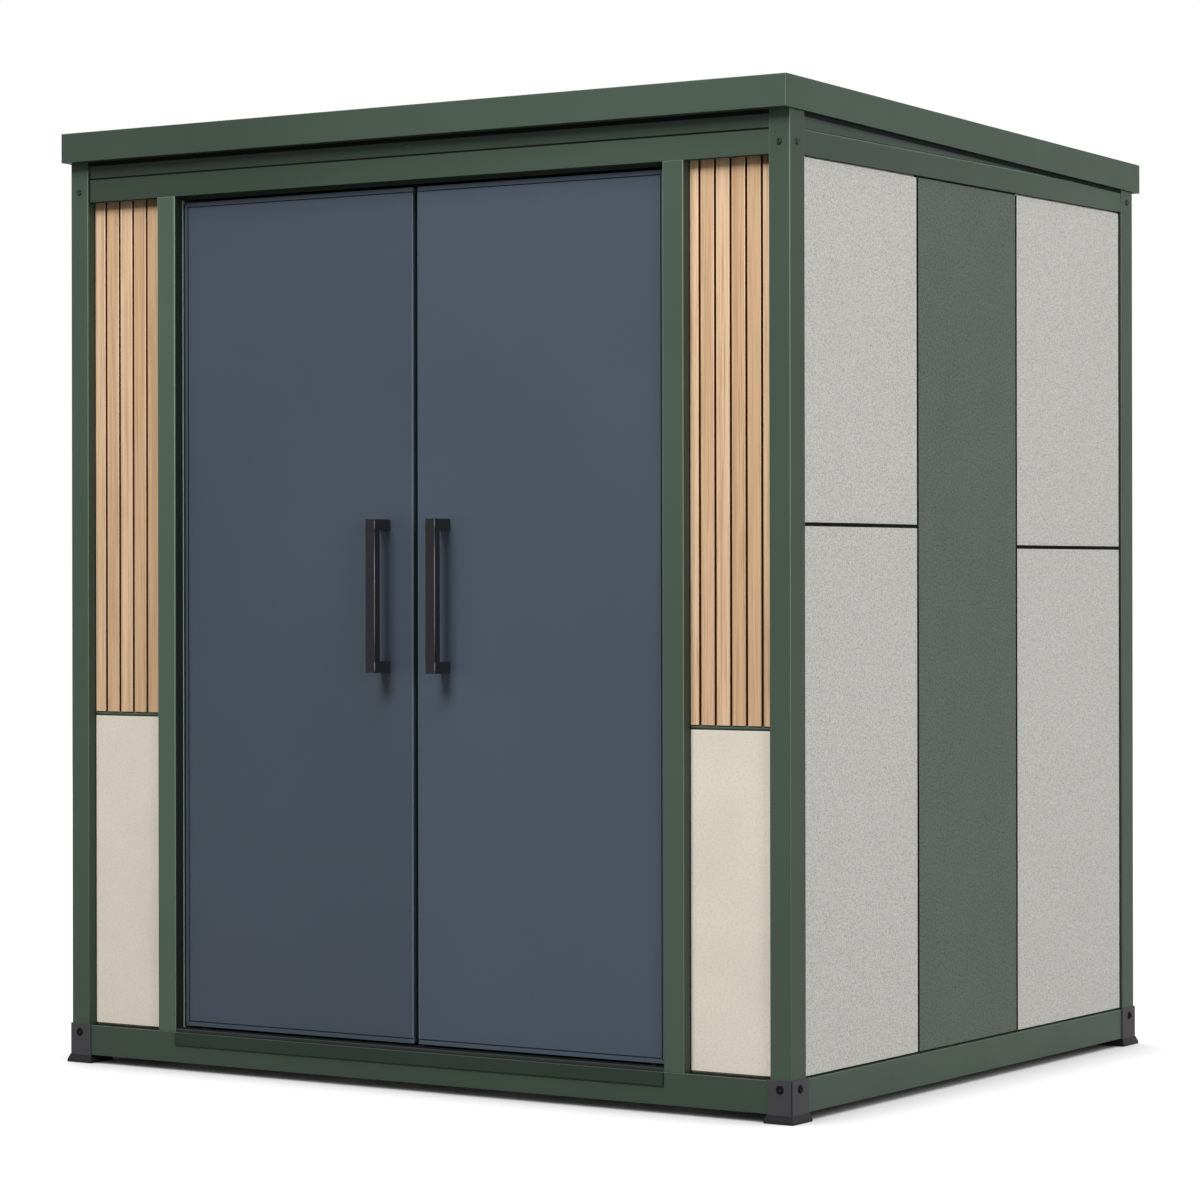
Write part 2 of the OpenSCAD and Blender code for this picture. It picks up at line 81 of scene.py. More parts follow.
# Fixings
SCREW_RADIUS = 0.0064
SCREW_Z = 1.972
SCREW_SUNK = 0.002
BOLT_RADIUS = 0.0072
BOLT_Z = 0.069
RIVET_RADIUS = 0.0035
RIVET_Z = 2.022
RIVET_STEP = 0.445
ROOF_SCREW_RADIUS = 0.0065
ROOF_SCREW_STEPS = 12
FIXING_SUNK = 0.001
FIXING_STEPS = 20

# Turned outlines of the fixings from rim to axis, as radius and height in units of the fixing's radius
PAN_HEAD = ((1.0, 0.25), (0.88, 0.50), (0.62, 0.62), (0.46, 0.60), (0.40, 0.15), (0.0, 0.10))
FLAT_RIVET = ((1.0, 0.12), (0.8, 0.32), (0.4, 0.44), (0.0, 0.48))
ROOF_SCREW = ((1.3, 0.20), (0.95, 0.34), (0.75, 0.34), (0.72, 0.95), (0.5, 1.08), (0.0, 1.1))
WASHER_BOLT = ((1.25, 0.10), (1.02, 0.16), (1.0, 0.16), (0.95, 0.36), (0.80, 0.46), (0.52, 0.46),
               (0.48, -0.05), (0.0, -0.05))

# Roof sheet, as the solids have it
RIB_COUNT = 7
RIB_SETBACK = 0.061
ROOF_FALL = 0.040
ROOF_RUN = 1.644
ROOF_SLOPE = ROOF_FALL / ROOF_RUN
ROOF_SCREW_ROWS = (-0.70, -0.265, 0.265, 0.70)

# Head rails: upper band, crease under it, painted shade at the left end, and the reach of the painted shadow
# under the roof trim
BAND_BACK = 0.003
CREASE_Z = (1.9980, 2.0010)
CREASE_EASE = 0.0002
CREASE_LIP = 0.0008
RAIL_END_SHADE = 0.0080
EAVES_REACH = 0.022
EAVES_EASE = EAVES_REACH * 0.7
TRIM_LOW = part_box("fascia_front")[0][2]
SIDE_EDGE = TRIM_LOW + ROOF_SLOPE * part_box("fascia_front")[0][1]
RAIL_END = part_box("head_rail_front")[0][0] - CREASE_LIP
BAND_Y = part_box("post_front_right")[0][1] + BAND_BACK

# Closure strips under the roof trim, dark to deepen the shadow there
CLOSURE_OUT = 0.002
CLOSURE_DROP = 0.009

# Corner feet, as the solids have them, and the borders of the shade painted in their slot and on their plate
SLEEVE_OUT = {"X": 0.948, "Y": 0.798}
SLEEVE_THICK = 0.003
SLOT_EDGE = (0.0020, 0.0026)
PLATE_EDGE = (0.0170, 0.0185)

# Walls: shallow gaps round the panels, as depths behind the face, where shade is painted, and where the top
# gap's painted shade stops and starts again
SIDE_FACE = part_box("right_centre_panel")[1][0]
REAR_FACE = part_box("rear_centre_panel")[1][1]
WALL_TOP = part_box("head_rail_right")[0][2]
GAP_START = 0.0004
GAP_END = 0.0090
GAP_EASE = 0.0004
GAP_TOP = 0.0046
STONE_LIGHT_TOP = WALL_TOP + GAP_TOP
MOSS_LIGHT_TOP = WALL_TOP - GAP_TOP / 3
GAP_SHADE = (0.006, 0.007, 0.006)

# Front bays: slats as the solids have them, depths of the shade painted in their grooves, and dark strips
# for shade round the panels
SLAT_FIRST = {"left": 0.0295, "right": 0.0210}
SLAT_PITCH = {"left": 0.0395, "right": 0.0370}
SLAT_GAP = 0.0055
SLAT_EDGE = 0.0011
GROOVE_DEPTHS = (0.0006, 0.0018)
LEDGE_REST = 0.0030
LEDGE_THICK = 0.0008
CORNER_SIZE = 0.0016
HEAD_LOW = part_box("head_rail_front")[0][2]
BASE_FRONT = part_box("base_rail_front")[0][1]
BASE_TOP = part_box("base_rail_front")[1][2]

# Doorway: its seals as front and back along Y and thickness, and the brush above the doors; dark ones stand
# for shade, the light bead for a highlight
JAMB_SHADE_GASKET = (-0.7925, -0.7680, 0.0006)
HIGHLIGHT_BEAD = (-0.7668, -0.7595, 0.0012)
SILL_SHADE_SEAL = (-0.7860, -0.7705, 0.0005)
BRUSH_Y = (-0.7685, -0.7635)
BRUSH_EASE = 0.0012
BRUSH_DROP = 0.0075
DOOR_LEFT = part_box("jamb_left")[1][0]
DOOR_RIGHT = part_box("jamb_right")[0][0]
SILL_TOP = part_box("threshold")[1][2]

# Door leaves: height without their pins, and the pressed groove's depths behind the face and its inset,
# where shade is painted
LEAF_Z = (0.0985, 1.9345)
LEAF_EASE = 0.0002
PRESS_DEPTHS = (0.00005, 0.0050)
PRESS_INSET = 0.004
PRESS_EASE = 0.001
PRESS_SHADE = 0.16

# Colours, and painted light that makes the leaves and bays on each side lighter or darker
GREEN = (0.047, 0.069, 0.051)
GREEN_SPECULAR = 0.15
SLATE = (0.0475, 0.0612, 0.0818)
PIN_SHADE = (0.012, 0.012, 0.013)
CREAM = (0.650, 0.600, 0.508)
STONE = (0.477, 0.473, 0.451)
MOSS = (0.097, 0.113, 0.096)
WOOD_PALE = (0.654, 0.463, 0.298)
WOOD_HONEY = (0.554, 0.370, 0.220)
WOOD_WARM = (0.447, 0.279, 0.161)
WOOD_STREAK = (0.35, 0.212, 0.118)
WOOD_HIGHLIGHT = (0.90, 0.69, 0.50)
WOOD_GROOVE_SHADE = (0.140, 0.048, 0.008)
LEAF_LIGHT = {"left": 0.965, "right": 1.10}
BAY_LIGHT = {"left": 0.957, "right": 1.0}

# A band of another tone across an axis, which may fall along Y, and painted light that changes the tone
# slowly along an axis
Band = namedtuple("Band", "axis low high tone ease fall", defaults=(CREASE_EASE, 0.0))
LightRamp = namedtuple("LightRamp", "axis start end first last")


class Coat:
    """One material's node tree, with short calls that add nodes to it."""

    def __init__(self, name, roughness, specular, metallic=0.0):
        self.material = bpy.data.materials.new(name)
        self.material.use_nodes = True
        self.tree = self.material.node_tree
        self.shader = self.tree.nodes["Principled BSDF"]
        self.shader.inputs["Roughness"].default_value = roughness
        self.shader.inputs["Specular IOR Level"].default_value = specular
        self.shader.inputs["Metallic"].default_value = metallic
        self.place = self.add("ShaderNodeTexCoord").outputs["Object"]

    def add(self, kind, **settings):
        """A new node with its settings."""
        node = self.tree.nodes.new(kind)
        for key, value in settings.items():
            setattr(node, key, value)
        return node

    def feed(self, socket, value):
        """Links a socket to another, or sets its number."""
        if isinstance(value, bpy.types.NodeSocket):
            self.tree.links.new(value, socket)
        else:
            socket.default_value = value

    def math(self, operation, a, b=0.0, c=0.0):
        """The result of one operation on numbers."""
        node = self.add("ShaderNodeMath", operation=operation)
        for socket, value in zip(node.inputs, (a, b, c)):
            self.feed(socket, value)
        return node.outputs[0]

    def axis(self, name):
        """One coordinate of the surface point, in metres."""
        node = self.add("ShaderNodeSeparateXYZ")
        self.feed(node.inputs[0], self.place)
        return node.outputs[name]

    def stretched(self, scale, shift):
        """The surface point scaled along each axis and shifted."""
        node = self.add("ShaderNodeVectorMath", operation="MULTIPLY_ADD")
        self.feed(node.inputs[0], self.place)
        node.inputs[1].default_value = scale
        self.feed(node.inputs[2], shift)
        return node.outputs[0]

    def noise(self, scale, detail, rough=0.5, vector=None):
        """Soft noise at the surface point, or at another."""
        node = self.add("ShaderNodeTexNoise")
        self.feed(node.inputs["Vector"], vector if vector is not None else self.place)
        node.inputs["Scale"].default_value = scale
        node.inputs["Detail"].default_value = detail
        node.inputs["Roughness"].default_value = rough
        return node.outputs["Fac"]

    def ramp(self, value, low, high, to_low=0.0, to_high=1.0):
        """Value from low to high carried to another range, clamped and eased."""
        node = self.add("ShaderNodeMapRange", interpolation_type="SMOOTHSTEP")
        for socket, number in zip(node.inputs, (value, low, high, to_low, to_high)):
            self.feed(socket, number)
        return node.outputs[0]

    def patches(self, scale, detail, to_low=0.0, to_high=1.0):
        """Soft noise spread over a whole range."""
        return self.ramp(self.noise(scale, detail), *NOISE_RANGE, to_low, to_high)

    def between(self, value, low, high, ease):
        """1 where a value lies between two limits, with an eased border inside them."""
        rise = self.ramp(value, low, low + ease)
        return self.math("MULTIPLY", rise, self.ramp(value, high - ease, high, 1.0, 0.0))

    def mix(self, factor, a, b):
        """One colour blended into another."""
        node = self.add("ShaderNodeMix", data_type="RGBA")
        self.feed(node.inputs[0], factor)
        for socket, value in ((node.inputs[6], a), (node.inputs[7], b)):
            self.feed(socket, value if isinstance(value, bpy.types.NodeSocket) else (*value, 1.0))
        return node.outputs[2]

    def scaled(self, colour, factor):
        """A colour socket made lighter or darker by a factor."""
        node = self.add("ShaderNodeVectorMath", operation="SCALE")
        self.feed(node.inputs[0], colour)
        self.feed(node.inputs["Scale"], factor)
        return node.outputs[0]

    def bump(self, height, distance, strength):
        """Gives the surface fine relief."""
        node = self.add("ShaderNodeBump")
        node.inputs["Strength"].default_value = strength
        node.inputs["Distance"].default_value = distance
        self.feed(node.inputs["Height"], height)
        self.feed(self.shader.inputs["Normal"], node.outputs[0])

    def normal(self):
        """Sizes of the normal's parts along X, Y and Z."""
        turned = self.add("ShaderNodeVectorMath", operation="ABSOLUTE")
        self.feed(turned.inputs[0], self.add("ShaderNodeTexCoord").outputs["Normal"])
        parts = self.add("ShaderNodeSeparateXYZ")
        self.feed(parts.inputs[0], turned.outputs[0])
        return parts.outputs

    def rim(self, upright=False):
        """1 on rounded edges and 0 on flat faces, from how far the normal leaves the axes.

        upright: only edges that run up and down.
        """
        x, y, z = self.normal()
        most = self.math("MAXIMUM", self.math("MAXIMUM", x, y), z)
        edge = self.ramp(most, *RIM_RANGE, 1.0, 0.0)
        if upright:
            edge = self.math("MULTIPLY", edge, self.ramp(z, *UPRIGHT_RANGE, 1.0, 0.0))
        return edge

    def flanked(self, colour, factor):
        """A colour socket with painted light or shade on faces that look along X."""
        if factor == 1.0:
            return colour
        return self.scaled(colour, self.ramp(self.normal()[0], *FLANK_RANGE, 1.0, factor))

    def gap(self, axis, face, light_top):
        """1 where shade is painted in the shallow gaps just behind a wall's face, 0 on the face and further
        in.

        No shade is painted in the gap under the head rail from GAP_TOP below the rail up to light_top.
        """
        depth = self.math("SUBTRACT", face, self.math("ABSOLUTE", self.axis(axis)))
        inside = self.between(depth, GAP_START, GAP_END, GAP_EASE)
        light = self.between(self.axis("Z"), WALL_TOP - GAP_TOP, light_top, GAP_EASE)
        return self.math("MULTIPLY", inside, self.math("SUBTRACT", 1.0, light))

    def colour(self, value):
        """Sets the base colour."""
        self.feed(self.shader.inputs["Base Color"], value)

    def roughness(self, value):
        """Sets a roughness that changes over the surface."""
        self.feed(self.shader.inputs["Roughness"], value)


def shade(colour, factor):
    """A colour made lighter or darker by a factor."""
    return tuple(channel * factor for channel in colour)


def painted_edge_highlight(colour, factor):
    """A lighter and greyer tone of a colour, painted on rounded edges as a highlight."""
    grey = sum(colour) / 3
    return tuple((channel * (1 - HIGHLIGHT_GREY) + grey * HIGHLIGHT_GREY) * factor for channel in colour)


def pressed_groove(coat, base, colour, box):
    """Paints shade in the pressed groove of a door leaf, and on the pins above and below the leaf."""
    low, high = box
    start, end = (low[1] + depth for depth in PRESS_DEPTHS)
    inside = coat.between(coat.axis("Y"), start, end, LEAF_EASE)
    for axis, least, most in (("X", low[0], high[0]), ("Z", low[2], high[2])):
        inset = coat.between(coat.axis(axis), least + PRESS_INSET, most - PRESS_INSET, PRESS_EASE)
        inside = coat.math("MULTIPLY", inside, inset)
    base = coat.mix(inside, base, shade(colour, PRESS_SHADE))
    leaf = coat.between(coat.axis("Z"), *LEAF_Z, LEAF_EASE)
    return coat.mix(leaf, PIN_SHADE, base)


def paint(name, colour, roughness=0.46, specular=0.3, drift=0.06, grain=0.12, edge=2.6,
          pressed=None, bands=(), lean=None, flank=1.0):
    """Powder coat: slow drift of tone, fine mottle and an orange-peel surface.

    edge: tone of the painted highlight on rounded edges. flank: painted light or shade on faces that look
    along X.
    pressed: corners of a door leaf whose face carries a pressed groove, with painted shade in it.
    """
    mottle_tone = 0.75
    dull, shiny = roughness + 0.03, roughness - 0.03
    coat = Coat(name, roughness, specular)
    base = coat.mix(coat.patches(scale=1.7, detail=3.0), shade(colour, 1 - drift), shade(colour, 1 + drift))
    mottle = coat.math("MULTIPLY", coat.patches(scale=420.0, detail=2.0), grain)
    base = coat.mix(mottle, base, shade(colour, mottle_tone))
    # Painted highlight on the rounded edges
    base = coat.mix(coat.rim(), base, painted_edge_highlight(colour, edge))
    if pressed is not None:
        base = pressed_groove(coat, base, colour, pressed)
    # Bands of painted shade and highlight, such as the shadow under the roof trim and the crease lines
    for band in bands:
        height = coat.math("MULTIPLY_ADD", coat.axis("Y"), band.fall, coat.axis(band.axis))
        inside = coat.between(height, band.low, band.high, band.ease)
        base = coat.mix(inside, base, shade(colour, band.tone))
    # Painted light that grows or fades along an axis
    if lean is not None:
        along = coat.axis(lean.axis)
        base = coat.scaled(base, coat.ramp(along, lean.start, lean.end, lean.first, lean.last))
    coat.colour(coat.flanked(base, flank))
    coat.roughness(coat.patches(scale=9.0, detail=4.0, to_low=shiny, to_high=dull))
    coat.bump(coat.noise(scale=650.0, detail=1.0), distance=0.0002, strength=0.25)
    return coat.material


def green_paint(name, tone=1.0, **more):
    """The frame's green powder coat in a tone of its own, which on some pieces is painted light or shade."""
    return paint(name, shade(GREEN, tone), specular=GREEN_SPECULAR, **more)


def timber(name, first_edge, pitch, face_y, tone):
    """Oiled softwood slats: grain along the height, each slat its own colour, shade painted in grooves."""
    own_shift, highlight_share, grain_share = 40.0, 0.85, 0.75
    own_range, broad_range, streak_range = (0.1, 0.9), (0.42, 0.72), (0.46, 0.70)
    broad_stretch, streak_stretch = (95.0, 95.0, 1.6), (420.0, 420.0, 5.0)
    coat = Coat(name, roughness=0.6, specular=0.03)
    along = coat.math("DIVIDE", coat.math("SUBTRACT", coat.axis("X"), first_edge), pitch)
    own = coat.add("ShaderNodeTexWhiteNoise", noise_dimensions="1D")
    coat.feed(own.inputs["W"], coat.math("FLOOR", along))
    shift = coat.scaled(own.outputs["Color"], own_shift)
    broad = coat.noise(scale=1.0, detail=3.0, rough=0.6, vector=coat.stretched(broad_stretch, shift))
    streak = coat.noise(scale=1.0, detail=4.0, rough=0.65, vector=coat.stretched(streak_stretch, shift))
    wood = coat.mix(coat.ramp(own.outputs["Value"], *own_range), WOOD_PALE, WOOD_HONEY)
    wood = coat.mix(coat.ramp(broad, *broad_range, 0.0, grain_share), wood, WOOD_WARM)
    wood = coat.mix(coat.ramp(streak, *streak_range, 0.0, grain_share), wood, WOOD_STREAK)
    # Painted highlight on the rounded edges of the slats
    wood = coat.mix(coat.math("MULTIPLY", coat.rim(), highlight_share), wood, WOOD_HIGHLIGHT)
    start, end = (face_y + depth for depth in GROOVE_DEPTHS)
    groove_shade = coat.ramp(coat.axis("Y"), start, end)
    coat.colour(coat.mix(groove_shade, coat.scaled(wood, tone), WOOD_GROOVE_SHADE))
    coat.bump(streak, distance=0.0004, strength=0.35)
    return coat.material


def rendered_board(name, colour):
    """Matt board with a fine sanded face."""
    cloud_tones, sand_tone = (0.97, 1.03), 0.72
    sand_range, sand_share = (0.45, 0.72), 0.55
    coat = Coat(name, roughness=0.8, specular=0.2)
    sand = coat.noise(scale=230.0, detail=3.0, rough=0.7)
    base = coat.mix(coat.patches(scale=7.0, detail=3.0), *(shade(colour, tone) for tone in cloud_tones))
    grains = coat.ramp(sand, *sand_range, 0.0, sand_share)
    coat.colour(coat.mix(grains, base, shade(colour, sand_tone)))
    coat.bump(sand, distance=0.0005, strength=0.4)
    return coat.material


def speckled_stone(name, axis, face):
    """Light grey stone-look panel, fine dark and pale grains, and painted shade in the gaps behind its face.
    """
    warmth = (1.03, 0.995, 0.97)
    cloud_tone, dark_tone, pale_tone, speck_tone, rim_highlight = 1.04, 0.62, 1.26, 0.50, 1.6
    warm_range, dark_range, pale_range, speck_range = (0.35, 0.65), (0.50, 0.66), (0.34, 0.50), (0.70, 0.80)
    cloud_share, speck_share = 0.5, 0.55
    coat = Coat(name, roughness=0.75, specular=0.25)
    grain = coat.noise(scale=340.0, detail=3.0, rough=0.7)
    warm = tuple(channel * factor for channel, factor in zip(STONE, warmth))
    base = coat.mix(coat.ramp(coat.noise(scale=60.0, detail=2.0), *warm_range), STONE, warm)
    cloud = coat.math("MULTIPLY", coat.patches(scale=4.0, detail=4.0), cloud_share)
    base = coat.mix(cloud, base, shade(STONE, cloud_tone))
    base = coat.mix(coat.ramp(grain, *dark_range), base, shade(STONE, dark_tone))
    base = coat.mix(coat.ramp(grain, *pale_range, 1.0, 0.0), base, shade(STONE, pale_tone))
    specks = coat.ramp(coat.noise(scale=210.0, detail=0.0), *speck_range, 0.0, speck_share)
    base = coat.mix(specks, base, shade(STONE, speck_tone))
    # Painted highlight on the rounded edges
    base = coat.mix(coat.rim(), base, shade(STONE, rim_highlight))
    coat.colour(coat.mix(coat.gap(axis, face, STONE_LIGHT_TOP), base, GAP_SHADE))
    coat.bump(grain, distance=0.0006, strength=0.4)
    return coat.material


def moss_render(name, axis, face):
    """Dark green textured panel, softly mottled, with painted shade in the gaps behind its face."""
    cloud_tones, dark_tone, pale_tone, rim_highlight = (0.96, 1.04), 0.52, 1.40, 1.5
    dark_range, pale_range, pale_share = (0.5, 0.68), (0.32, 0.50), 0.9
    coat = Coat(name, roughness=0.8, specular=0.2)
    grain = coat.noise(scale=230.0, detail=3.0, rough=0.7)
    base = coat.mix(coat.patches(scale=9.0, detail=4.0), *(shade(MOSS, tone) for tone in cloud_tones))
    base = coat.mix(coat.ramp(grain, *dark_range), base, shade(MOSS, dark_tone))
    base = coat.mix(coat.ramp(grain, *pale_range, pale_share, 0.0), base, shade(MOSS, pale_tone))
    # Painted highlight on the rounded edges
    base = coat.mix(coat.rim(), base, shade(MOSS, rim_highlight))
    coat.colour(coat.mix(coat.gap(axis, face, MOSS_LIGHT_TOP), base, GAP_SHADE))
    coat.bump(grain, distance=0.0006, strength=0.5)
    return coat.material


def cast_skin(coat, colour):
    """Gives a coat a slightly grainy skin, and returns its tone."""
    grain_range, grain_tones = (0.35, 0.7), (0.85, 1.15)
    grain = coat.noise(scale=480.0, detail=3.0, rough=0.65)
    coat.bump(grain, distance=0.0004, strength=0.35)
    return coat.mix(coat.ramp(grain, *grain_range), *(shade(colour, tone) for tone in grain_tones))


def cast_coat(name, colour, roughness, edge=1.0, specular=0.3, flank=1.0):
    """Matt coat on a cast or pressed piece.

    edge: tone of the painted highlight on upright edges. flank: painted light or shade on faces that look
    along X.
    """
    coat = Coat(name, roughness, specular)
    base = coat.flanked(cast_skin(coat, colour), flank)
    # Painted highlight on the upright edges
    coat.colour(coat.mix(coat.rim(upright=True), base, shade(colour, edge)))
    return coat.material


def foot_coat(name, colour):
    """Cast corner foot: shade painted on the base plate and in the slot where the sleeve's two sides meet.
    """
    slot_shade_tone, plate_shade_tone = 0.30, 0.28
    coat = Coat(name, roughness=0.6, specular=0.2)
    slot = 1.0
    for axis, out in SLEEVE_OUT.items():
        inside = coat.math("SUBTRACT", out, coat.math("ABSOLUTE", coat.axis(axis)))
        slot = coat.math("MULTIPLY", slot, coat.ramp(inside, *SLOT_EDGE, 1.0, 0.0))
    base = coat.mix(slot, cast_skin(coat, colour), shade(colour, slot_shade_tone))
    plate = coat.ramp(coat.axis("Z"), *PLATE_EDGE, 1.0, 0.0)
    coat.colour(coat.mix(plate, base, shade(colour, plate_shade_tone)))
    return coat.material


def zinc(name, colour):
    """Galvanised steel with its spangle."""
    spangle_size, spangle_tones, roughness_range = 70.0, (0.85, 1.12), (0.38, 0.55)
    coat = Coat(name, roughness=0.45, specular=0.5, metallic=0.7)
    cells = coat.add("ShaderNodeTexVoronoi")
    coat.feed(cells.inputs["Vector"], coat.place)
    cells.inputs["Scale"].default_value = spangle_size
    tint = coat.add("ShaderNodeSeparateColor")
    coat.feed(tint.inputs[0], cells.outputs["Color"])
    coat.colour(coat.mix(tint.outputs[0], *(shade(colour, tone) for tone in spangle_tones)))
    coat.roughness(coat.ramp(tint.outputs[1], 0.0, 1.0, *roughness_range))
    coat.bump(coat.noise(scale=300.0, detail=2.0), distance=0.0002, strength=0.2)
    return coat.material


def soften(piece, width):
    """Small rounded edges, so that they catch the light as folded sheet does."""
    weld = piece.modifiers.new("weld", "WELD")
    weld.merge_threshold = WELD
    bevel = piece.modifiers.new("edges", "BEVEL")
    bevel.width = width
    bevel.segments = EDGE_SEGMENTS
    bevel.limit_method = "ANGLE"
    bevel.angle_limit = EDGE_ANGLE
    bevel.harden_normals = True


def dress(names, material, width=EDGE):
    """Gives CAD nodes their finish and soft edges."""
    for name in names:
        piece = NODES[name]
        for slot in piece.material_slots:
            slot.material = material
        soften(piece, width)


def made(name, bm, material, smooth=False):
    """Turns a bmesh into a piece that rides on the shed."""
    bmesh.ops.recalc_face_normals(bm, faces=bm.faces)
    mesh = bpy.data.meshes.new(name)
    bm.to_mesh(mesh)
    bm.free()
    for face in mesh.polygons:
        face.use_smooth = smooth
    mesh.materials.append(material)
    piece = bpy.data.objects.new(name, mesh)
    bpy.context.scene.collection.objects.link(piece)
    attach(piece, "shed")


def facing(place, outward):
    """Matrix that puts a piece at a place with its own Z outward."""
    turn = Vector(outward).to_track_quat("Z", "Y").to_matrix().to_4x4()
    return Matrix.Translation(place) @ turn


def lathe(bm, outline, radius, matrix, sunk=FIXING_SUNK, steps=FIXING_STEPS):
    """Adds a turned fixing from its outline, with a rim that is sunk a little below its seat."""
    profile = [(outline[0][0] * radius, -sunk)]
    profile += [(across * radius, height * radius) for across, height in outline]
    rings = []
    for across, height in profile:
        if across == 0:
            rings.append([bm.verts.new(matrix @ Vector((0, 0, height)))])
            continue
        ring = []
        for step in range(steps):
            turn = 2 * math.pi * step / steps
            point = Vector((across * math.cos(turn), across * math.sin(turn), height))
            ring.append(bm.verts.new(matrix @ point))
        rings.append(ring)
    for low, high in zip(rings, rings[1:]):
        for step in range(steps):
            after = (step + 1) % steps
            if len(high) == 1:
                bm.faces.new((low[step], low[after], high[0]))
            else:
                bm.faces.new((low[step], low[after], high[after], high[step]))


def extruded(bm, outline, travel):
    """Adds a bar: a closed outline of points carried along a vector."""
    near = [bm.verts.new(Vector(point)) for point in outline]
    far = [bm.verts.new(Vector(point) + Vector(travel)) for point in outline]
    bm.faces.new(near)
    bm.faces.new(list(reversed(far)))
    for i in range(len(near)):
        j = (i + 1) % len(near)
        bm.faces.new((near[i], far[i], far[j], near[j]))


def corner_fixings(outline, radius, z, sunk=FIXING_SUNK, plate=0.0):
    """One fixing on each outer face of each post, at a height, on a plate of some thickness."""
    bm = bmesh.new()
    for end in ("front", "rear"):
        for side in ("left", "right"):
            low, high = (Vector(corner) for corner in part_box(f"post_{end}_{side}"))
            centre = (low + high) / 2
            out_x = 1 if side == "right" else -1
            out_y = -1 if end == "front" else 1
            face_x = (high.x if out_x > 0 else low.x) + out_x * plate
            face_y = (high.y if out_y > 0 else low.y) + out_y * plate
            lathe(bm, outline, radius, facing((centre.x, face_y, z), (0, out_y, 0)), sunk)
            lathe(bm, outline, radius, facing((face_x, centre.y, z), (out_x, 0, 0)), sunk)
    return bm


def band_rivets():
    """Three rivets along the upper band of the front head rail."""
    bm = bmesh.new()
    for x in (-RIVET_STEP, 0.0, RIVET_STEP):
        lathe(bm, FLAT_RIVET, RIVET_RADIUS, facing((x, BAND_Y, RIVET_Z), (0, -1, 0)))
    return bm


def roof_screws():
    """Rows of screws on the ribs of the roof sheet, square to its slope."""
    low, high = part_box("roof_sheet")
    rib_step = (high[0] - low[0]) / RIB_COUNT
    bm = bmesh.new()
    for rib in range(RIB_COUNT):
        x = low[0] + (rib + 0.5) * rib_step
        for y in ROOF_SCREW_ROWS:
            z = high[2] - ROOF_SLOPE * (y - low[1] - RIB_SETBACK)
            seat = facing((x, y, z), (0, ROOF_SLOPE, 1))
            lathe(bm, ROOF_SCREW, ROOF_SCREW_RADIUS, seat, steps=ROOF_SCREW_STEPS)
    return bm


def jamb_beads(front, back, thick):
    """A low bead on the door side of each jamb, between two depths along Y."""
    bm = bmesh.new()
    ease = min(thick, (back - front) / 4)
    for side in SIDES:
        face, inward = (DOOR_LEFT, 1) if side == "left" else (DOOR_RIGHT, -1)
        crest = face + inward * thick
        outline = [(face, front, SILL_TOP), (crest, front + ease, SILL_TOP),
                   (crest, back - ease, SILL_TOP), (face, back, SILL_TOP)]
        extruded(bm, outline, (0, 0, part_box(f"jamb_{side}")[1][2] - SILL_TOP))
    return bm


def head_shade_brush():
    """A tapered dark brush that hangs from the front head rail above the doors, as the gap's shade."""
    bm = bmesh.new()
    front, back = BRUSH_Y
    tip = HEAD_LOW - BRUSH_DROP
    outline = [(DOOR_LEFT, front, HEAD_LOW), (DOOR_LEFT, front + BRUSH_EASE, tip),
               (DOOR_LEFT, back - BRUSH_EASE, tip), (DOOR_LEFT, back, HEAD_LOW)]
    extruded(bm, outline, (DOOR_RIGHT - DOOR_LEFT, 0, 0))
    return bm


def flat_shade_seal(bm, left, right, front, back, z, thick):
    """Adds a thin level dark seal that lies on a ledge, standing for the shade there."""
    outline = [(left, back, z), (left, back, z + thick), (left, front, z + thick), (left, front, z)]
    extruded(bm, outline, (right - left, 0, 0))


def sill_shade_seal():
    """A thin dark seal on the tread bar under the doors, standing for the shade in the gap there."""
    front, back, thick = SILL_SHADE_SEAL
    bm = bmesh.new()
    flat_shade_seal(bm, DOOR_LEFT, DOOR_RIGHT, front, back, SILL_TOP, thick)
    return bm


def ledge_shade_seals():
    """Thin dark seals on the base rail in front of the lower panels, standing for the shade on that ledge.
    """
    bm = bmesh.new()
    for side in SIDES:
        low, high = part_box(f"lower_panel_{side}")
        flat_shade_seal(bm, low[0], high[0], BASE_FRONT + LEDGE_REST, low[1], BASE_TOP, LEDGE_THICK)
    return bm


def corner_shade_seals():
    """Three-sided dark beads in the upright corners of the front bays, standing for the shade there."""
    bm = bmesh.new()
    for side in SIDES:
        low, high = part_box(f"lower_panel_{side}")
        for x, inward in ((low[0], CORNER_SIZE), (high[0], -CORNER_SIZE)):
            outline = [(x, low[1], BASE_TOP), (x + inward, low[1], BASE_TOP),
                       (x, low[1] - CORNER_SIZE, BASE_TOP)]
            extruded(bm, outline, (0, 0, HEAD_LOW - BASE_TOP))
    return bm


def closure(bm, start, out, travel):
    """Adds a strip that hangs below a roof trim along a wall."""
    top = Vector(start)
    face = top + Vector(out)
    down = Vector((0, 0, -CLOSURE_DROP))
    extruded(bm, [top, face, face + down, top + down], travel)


def closure_shade_strips():
    """Dark closure strips under the roof trim, along the front and both sides, deepening the shadow there.
    """
    post_low, post_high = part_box("post_front_right")
    side_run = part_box("post_rear_right")[0][1] - post_high[1]
    side_top = TRIM_LOW - ROOF_SLOPE * (post_high[1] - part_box("roof_sheet")[0][1])
    bm = bmesh.new()
    closure(bm, (-post_low[0], BAND_Y, TRIM_LOW), (0, -CLOSURE_OUT, 0), (2 * post_low[0], 0, 0))
    for out in (1, -1):
        start = (out * (post_high[0] - BAND_BACK), post_high[1], side_top)
        closure(bm, start, (out * CLOSURE_OUT, 0, 0), (0, side_run, -ROOF_SLOPE * side_run))
    return bm


